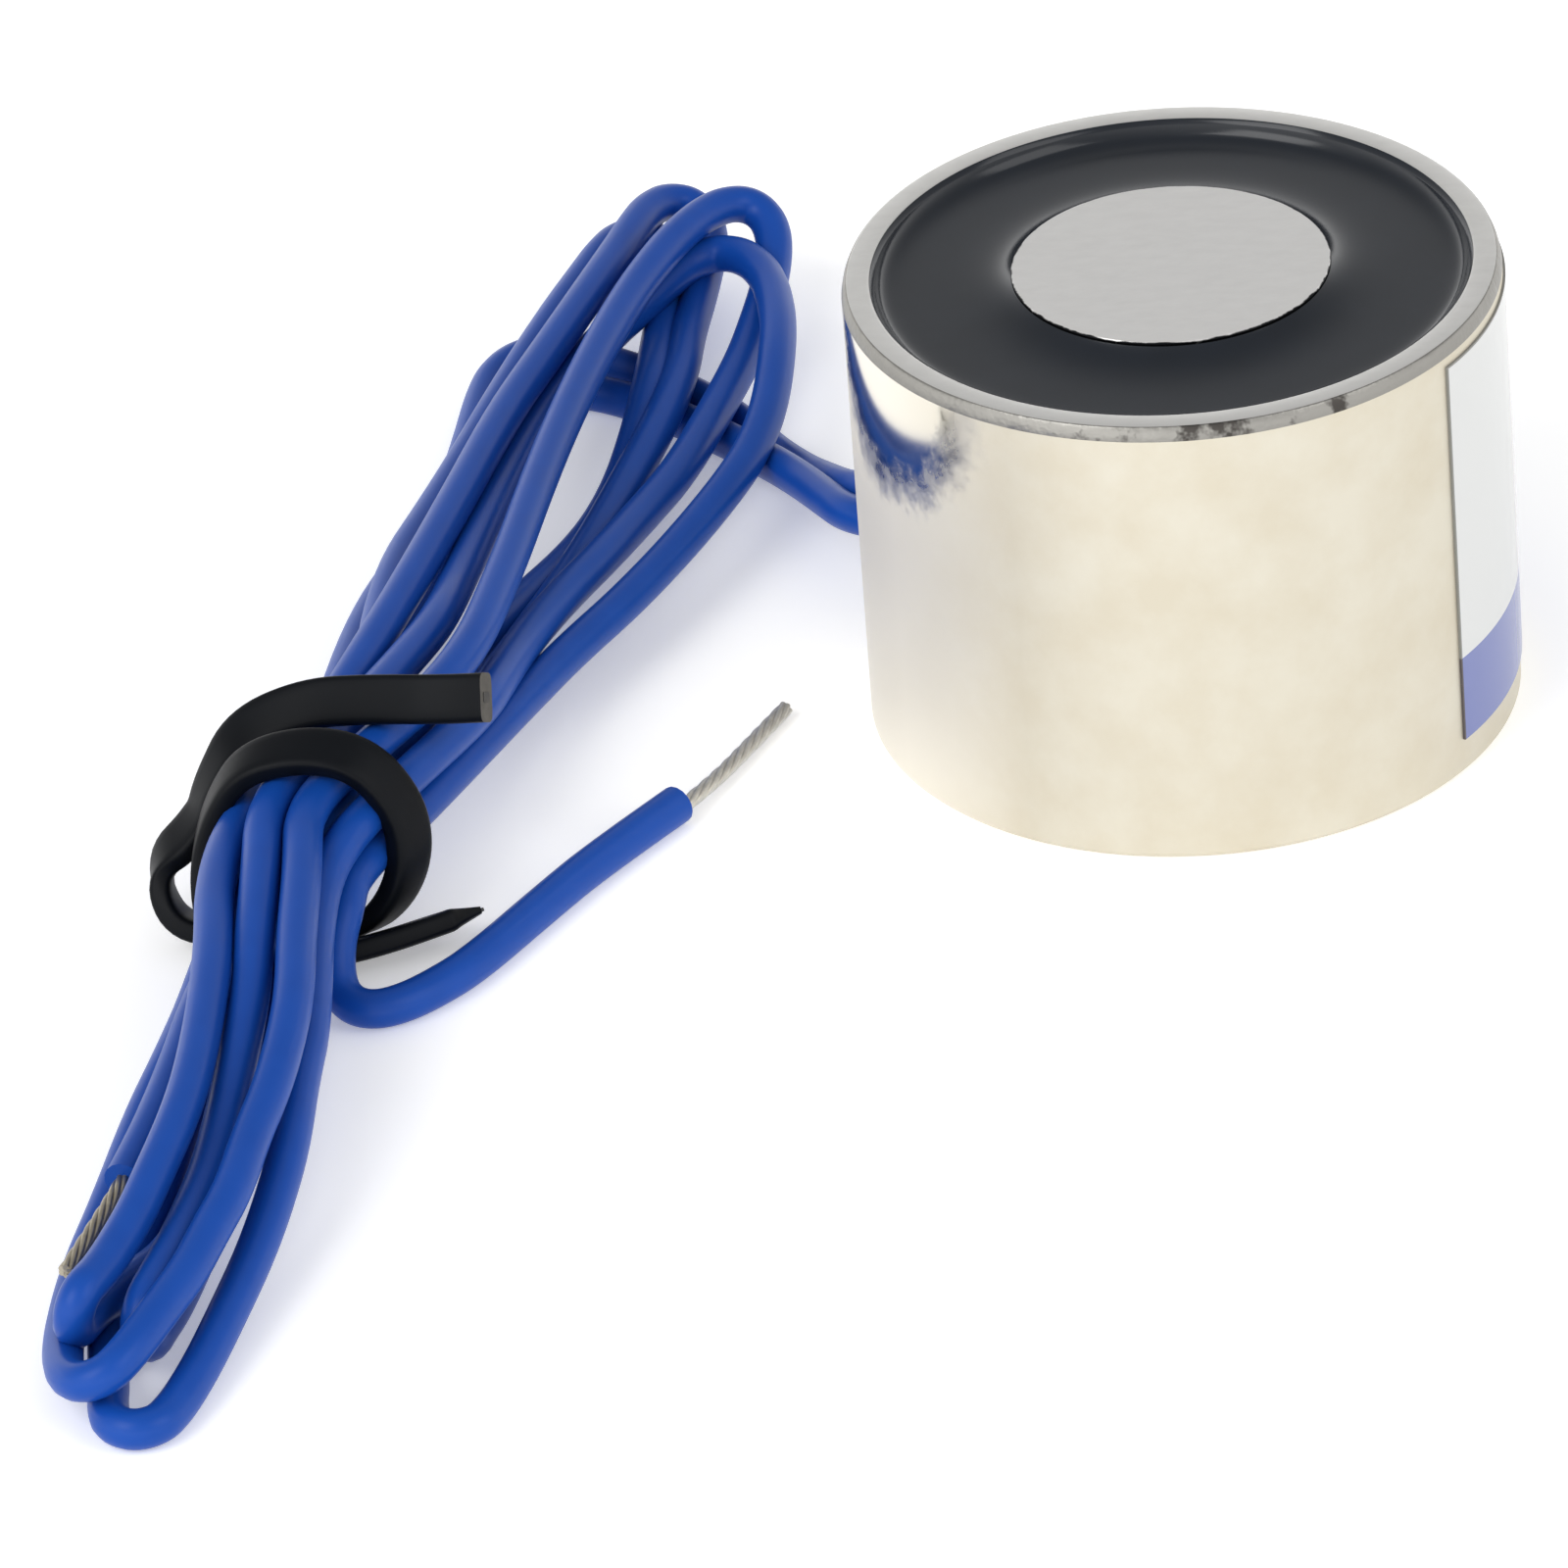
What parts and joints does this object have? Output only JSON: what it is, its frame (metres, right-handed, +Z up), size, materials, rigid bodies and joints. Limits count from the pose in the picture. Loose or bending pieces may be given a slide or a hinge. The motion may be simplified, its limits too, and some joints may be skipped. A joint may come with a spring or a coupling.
{
  "type": "holding electromagnet",
  "caption": "Small round pot electromagnet for lifting and holding: plated steel cup, flush pole face in dished black resin, side label, and leads folded into a tied hank.",
  "frame": {"origin": "middle of the cup's base, on the surface that it stands on", "axes": "+Z is up along the magnet's axis, out of the pole face; +Y is away from the picture's viewer and +X is to their right"},
  "size_m": [0.0456, 0.0668, 0.015],
  "materials": {
    "nickel_plate": "bright nickel plate over turned steel",
    "ground_steel": "ground flat",
    "nylon": "moulded",
    "enamelled_copper": "enamelled wire",
    "polyester_tape": "thin film",
    "black_resin": "cast, glossy",
    "black_rubber": "moulded",
    "label_paper": "coated, with a plain blue band",
    "blue_pvc": "extruded, satin",
    "tinned_copper": "twisted and tinned strands",
    "solder": "soldered",
    "sleeving": "shrunk sleeving",
    "tie_plastic": "extruded, satin",
    "tie_steel": "drawn wire"
  },
  "bodies": {
    "root": {"cup": "nickel_plate", "core": "ground_steel", "bobbin": "nylon", "coil_winding": "enamelled_copper", "coil_tape": "polyester_tape", "potting_resin": "black_resin", "lead_grommet": "black_rubber", "rating_label": "label_paper", "lead_a_run": "blue_pvc", "lead_b_run": "blue_pvc", "lead_hank": "blue_pvc", "lead_a_tail": "blue_pvc", "lead_a_tip": "tinned_copper", "lead_b_tip": "tinned_copper", "splice_a": "solder", "splice_b": "solder", "splice_sleeve_a": "sleeving", "splice_sleeve_b": "sleeving", "twist_tie_sheath": "tie_plastic", "twist_tie_wire": "tie_steel"}
  },
  "joints": []
}
